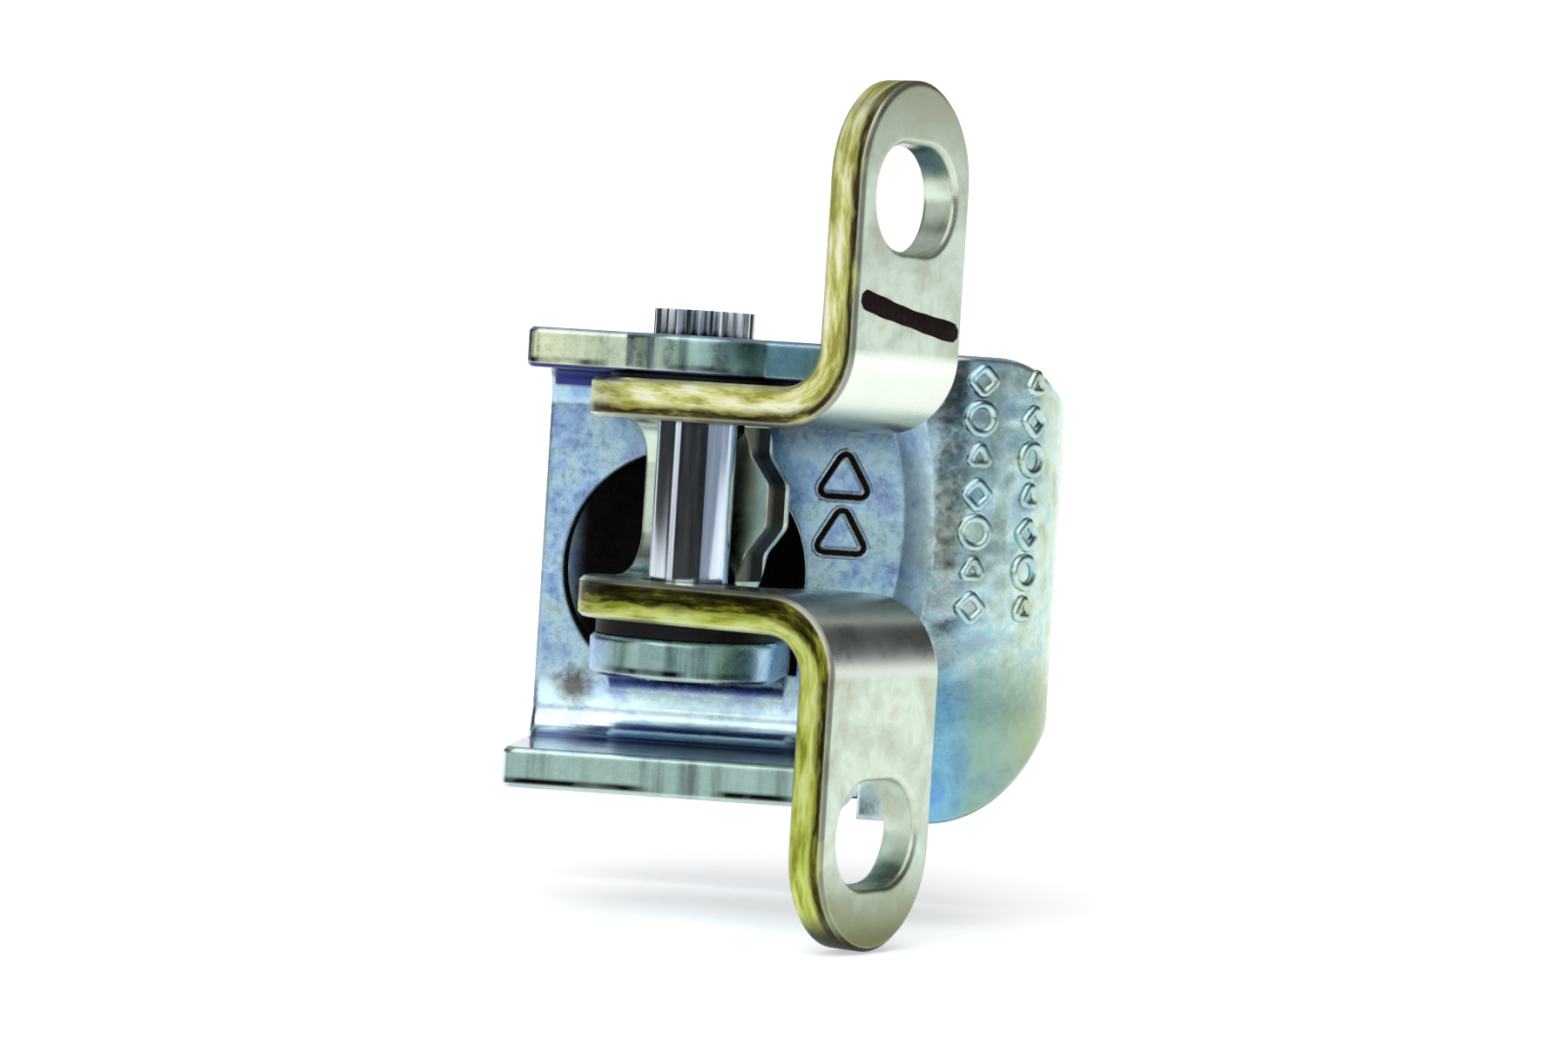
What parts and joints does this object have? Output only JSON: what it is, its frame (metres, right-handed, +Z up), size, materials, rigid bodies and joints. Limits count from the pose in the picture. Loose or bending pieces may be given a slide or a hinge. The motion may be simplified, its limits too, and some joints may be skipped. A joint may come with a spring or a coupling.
{
  "type": "trunk lid hinge",
  "caption": "Gooseneck hinge for a vehicle trunk lid: a folded channel bracket with a rolled-back leaf, and a slotted tab bracket that swings on a serrated-head pin.",
  "frame": {"origin": "middle of the leaf's two bolt holes, on the leaf's outer mounting face", "axes": "+Y out of the leaf's mounting face, +Z up along the pin, +X towards the rolled nose"},
  "size_m": [0.0555, 0.0614, 0.085],
  "materials": {
    "blue_zinc_steel": "zinc plated, blue passivated",
    "yellow_zinc_steel": "zinc plated, yellow chromated",
    "bright_pin_steel": "turned and polished",
    "bush_plastic": "matte"
  },
  "bodies": {
    "channel": {"channel_bracket": "blue_zinc_steel", "hinge_pin": "bright_pin_steel"},
    "tabs": {"tab_bracket": "yellow_zinc_steel", "upper_bush": "bush_plastic", "lower_bush": "bush_plastic"}
  },
  "joints": [
    {"name": "hinge", "type": "hinge", "parent": "channel", "child": "tabs", "pos_m": [-0.003, -0.0415, 0.0064], "axis": [0, 0, 1], "range_deg": [-72, 28]}
  ]
}
